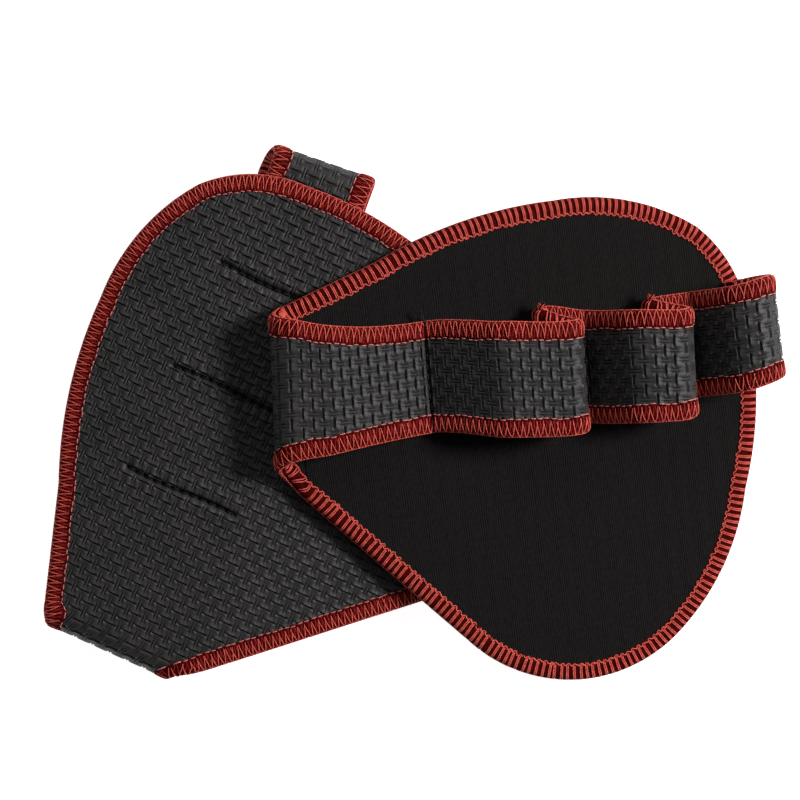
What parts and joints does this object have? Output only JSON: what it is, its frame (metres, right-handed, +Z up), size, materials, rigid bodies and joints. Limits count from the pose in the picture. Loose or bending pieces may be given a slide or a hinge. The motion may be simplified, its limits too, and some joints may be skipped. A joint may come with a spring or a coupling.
{
  "type": "hand grips",
  "caption": "Mirror-image pair of palm grips: leaf-shaped embossed foam-rubber pads whose folded neck strap forms finger loops, all edges overlocked.",
  "frame": {"origin": "centre of the lying pair's footprint, on the surface it rests on", "axes": "+Z up, away from the surface; +X along the longest extent, the way the right grip's loops point; +Y across"},
  "size_m": [0.1915, 0.1408, 0.0305],
  "materials": {
    "rubber": "charcoal foam rubber, embossed basket pattern, semi-matte",
    "jersey": "near-black knitted jersey, fine wales, matte",
    "overlock_thread": "coral-red spun polyester overlock thread",
    "seam_thread": "black spun polyester sewing thread"
  },
  "bodies": {
    "left_grip": {"left_loop_1_rubber": "rubber", "left_loop_2_rubber": "rubber", "left_loop_3_rubber": "rubber", "left_loop_4_rubber": "rubber", "left_pad_edging_centre": "overlock_thread", "left_pad_jersey_centre": "jersey", "left_pad_rubber_centre": "rubber", "left_seam_1": "seam_thread", "left_seam_2": "seam_thread", "left_seam_3": "seam_thread", "left_strap_edging": "overlock_thread", "left_strap_edging_footing": "overlock_thread", "left_strap_lining": "jersey"},
    "left_finger_flap": {"left_pad_edging_finger_flap": "overlock_thread", "left_pad_jersey_finger_flap": "jersey", "left_pad_rubber_finger_flap": "rubber"},
    "right_grip": {"right_loop_1_feet_rubber": "rubber", "right_loop_2_feet_rubber": "rubber", "right_loop_3_feet_rubber": "rubber", "right_loop_4_feet_rubber": "rubber", "right_pad_edging_centre": "overlock_thread", "right_pad_jersey_centre": "jersey", "right_pad_rubber_centre": "rubber", "right_seam_1": "seam_thread", "right_seam_2": "seam_thread", "right_seam_3": "seam_thread", "right_strap_edging": "overlock_thread", "right_strap_lining": "jersey"},
    "right_finger_flap": {"right_pad_edging_finger_flap": "overlock_thread", "right_pad_jersey_finger_flap": "jersey", "right_pad_rubber_finger_flap": "rubber"},
    "right_palm_flap": {"right_pad_edging_palm_flap": "overlock_thread", "right_pad_jersey_palm_flap": "jersey", "right_pad_rubber_palm_flap": "rubber"},
    "right_loop_1": {"right_loop_1_crown_edging": "overlock_thread", "right_loop_1_crown_lining": "jersey", "right_loop_1_crown_rubber": "rubber"},
    "right_loop_2": {"right_loop_2_crown_edging": "overlock_thread", "right_loop_2_crown_lining": "jersey", "right_loop_2_crown_rubber": "rubber"},
    "right_loop_3": {"right_loop_3_crown_edging": "overlock_thread", "right_loop_3_crown_lining": "jersey", "right_loop_3_crown_rubber": "rubber"},
    "right_loop_4": {"right_loop_4_crown_edging": "overlock_thread", "right_loop_4_crown_lining": "jersey", "right_loop_4_crown_rubber": "rubber"}
  },
  "joints": [
    {"name": "right_grip_lift", "type": "slide", "parent": "left_grip", "child": "right_grip", "axis": [0, 0, 1], "range_m": [0, 0.12]},
    {"name": "left_finger_flap_bend", "type": "hinge", "parent": "left_grip", "child": "left_finger_flap", "pos_m": [-0.06761, 0.00347, 0.01535], "axis": [0.4147, 0.91, 0], "range_deg": [0, 70], "stiffness_Nm_per_rad": 0.02},
    {"name": "right_finger_flap_bend", "type": "hinge", "parent": "right_grip", "child": "right_finger_flap", "pos_m": [0.02141, 0.02894, 0.01455], "axis": [0.9852, 0.1317, -0.1093], "range_deg": [0, 70], "stiffness_Nm_per_rad": 0.02},
    {"name": "right_palm_flap_bend", "type": "hinge", "parent": "right_grip", "child": "right_palm_flap", "pos_m": [0.02665, -0.01263, 0.01169], "axis": [-0.9852, -0.1317, 0.1093], "range_deg": [0, 70], "stiffness_Nm_per_rad": 0.02},
    {"name": "right_loop_1_open", "type": "slide", "parent": "right_grip", "child": "right_loop_1", "axis": [0.1172, -0.0534, 0.9917], "range_m": [0, 0.005], "stiffness_N_per_m": 100},
    {"name": "right_loop_2_open", "type": "slide", "parent": "right_grip", "child": "right_loop_2", "axis": [0.1172, -0.0534, 0.9917], "range_m": [0, 0.005], "stiffness_N_per_m": 100},
    {"name": "right_loop_3_open", "type": "slide", "parent": "right_grip", "child": "right_loop_3", "axis": [0.1172, -0.0534, 0.9917], "range_m": [0, 0.005], "stiffness_N_per_m": 100},
    {"name": "right_loop_4_open", "type": "slide", "parent": "right_grip", "child": "right_loop_4", "axis": [0.1172, -0.0534, 0.9917], "range_m": [0, 0.005], "stiffness_N_per_m": 100}
  ]
}
